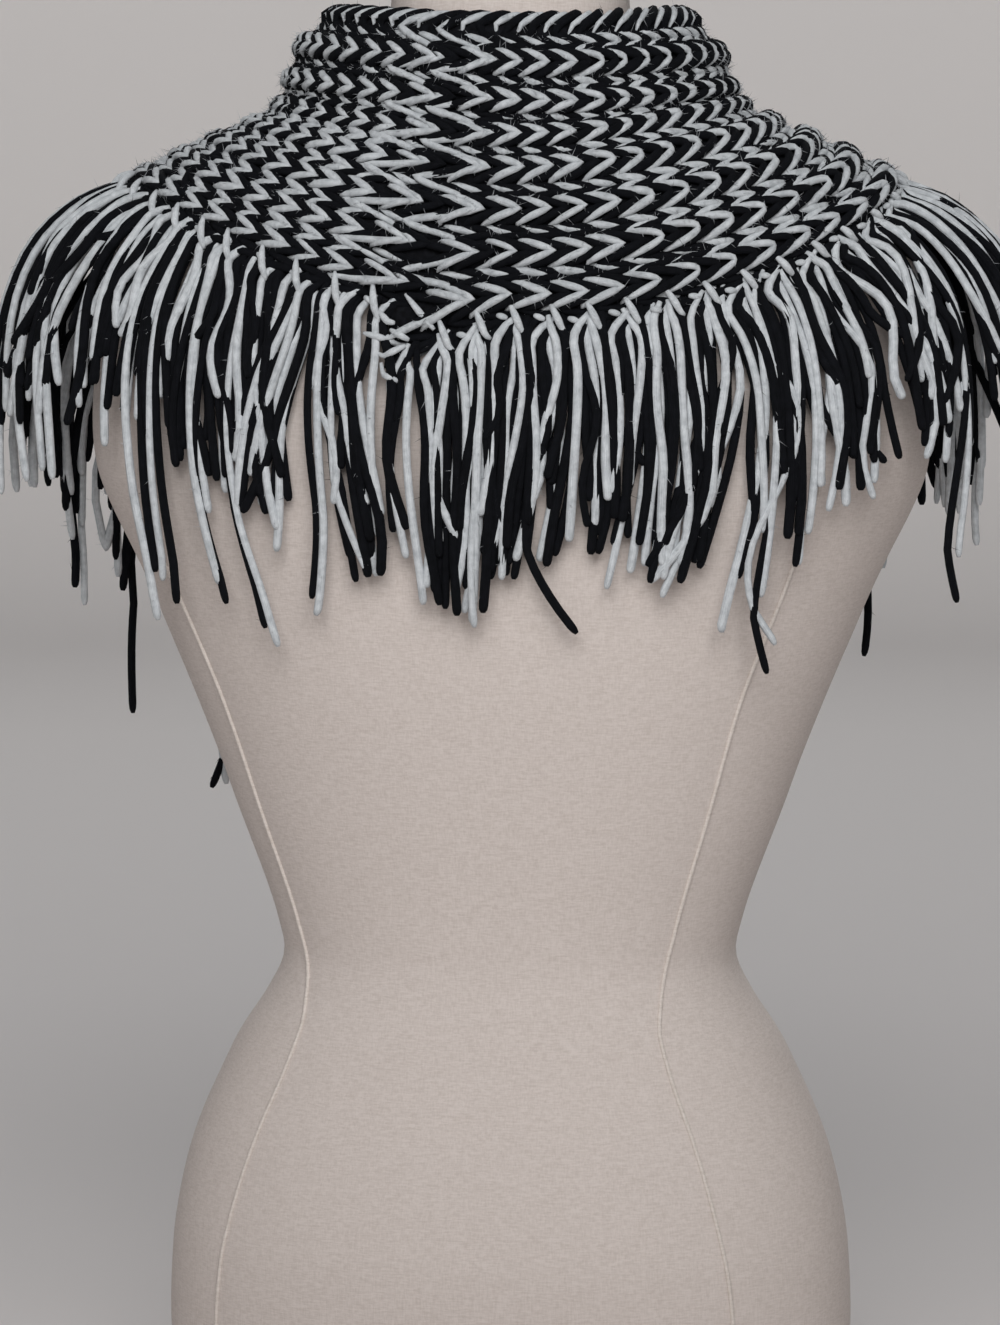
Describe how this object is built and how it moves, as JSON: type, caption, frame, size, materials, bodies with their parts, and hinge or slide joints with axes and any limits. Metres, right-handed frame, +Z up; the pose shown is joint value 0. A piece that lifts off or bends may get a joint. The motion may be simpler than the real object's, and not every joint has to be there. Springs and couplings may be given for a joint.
{
  "type": "fringed knit cowl shawl on dress form",
  "caption": "Chunky black and white rib-knit cowl with a long yarn fringe, standing round the neck and lying over the shoulders of a plain linen dress form without limbs.",
  "frame": {"origin": "middle of the dress form's flat underside, on the surface that it stands on", "axes": "+Z up; +Y towards the form's front; +X towards the form's right shoulder"},
  "size_m": [0.5314, 0.2704, 0.748],
  "materials": {
    "rib_knit": "chunky acrylic yarn in black and white, fuzzy and matt",
    "fringe_yarn": "loose ends of the same black and white yarn",
    "linen": "plain-woven natural linen, pulled smooth over the form"
  },
  "bodies": {
    "root": {"knit_band": "rib_knit", "fringe": "fringe_yarn", "dress_form": "linen"}
  },
  "joints": []
}
